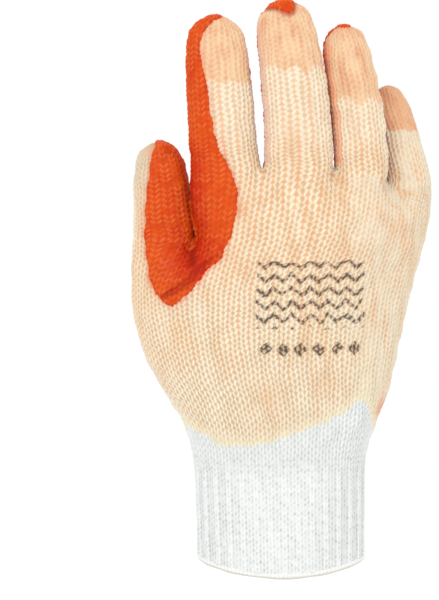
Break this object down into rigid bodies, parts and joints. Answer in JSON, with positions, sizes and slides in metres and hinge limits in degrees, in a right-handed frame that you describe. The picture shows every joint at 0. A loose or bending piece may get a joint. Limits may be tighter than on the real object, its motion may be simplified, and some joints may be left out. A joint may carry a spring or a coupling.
{
  "type": "latex coated grip glove",
  "caption": "Right-hand knitted work glove with a textured latex coating over the palm, finger fronts and thumb, a ribbed elastic cuff and a bound edge.",
  "frame": {"origin": "middle of the cuff's mouth, level with the cuff's lowest edge", "axes": "+Z from the cuff to the fingertips, +Y from the back of the hand to the palm, +X from the thumb's side to the little finger's"},
  "size_m": [0.1329, 0.0503, 0.2573],
  "materials": {
    "cream_knit": "soft cotton knit, cream with peach between the stitches",
    "orange_latex": "semi-gloss crinkled latex",
    "white_rib": "soft ribbed knit",
    "edge_thread": "overlocked thread"
  },
  "bodies": {
    "root": {"knit_liner": "cream_knit", "latex_coating": "orange_latex", "rib_cuff": "white_rib", "cuff_edge": "edge_thread"}
  },
  "joints": []
}
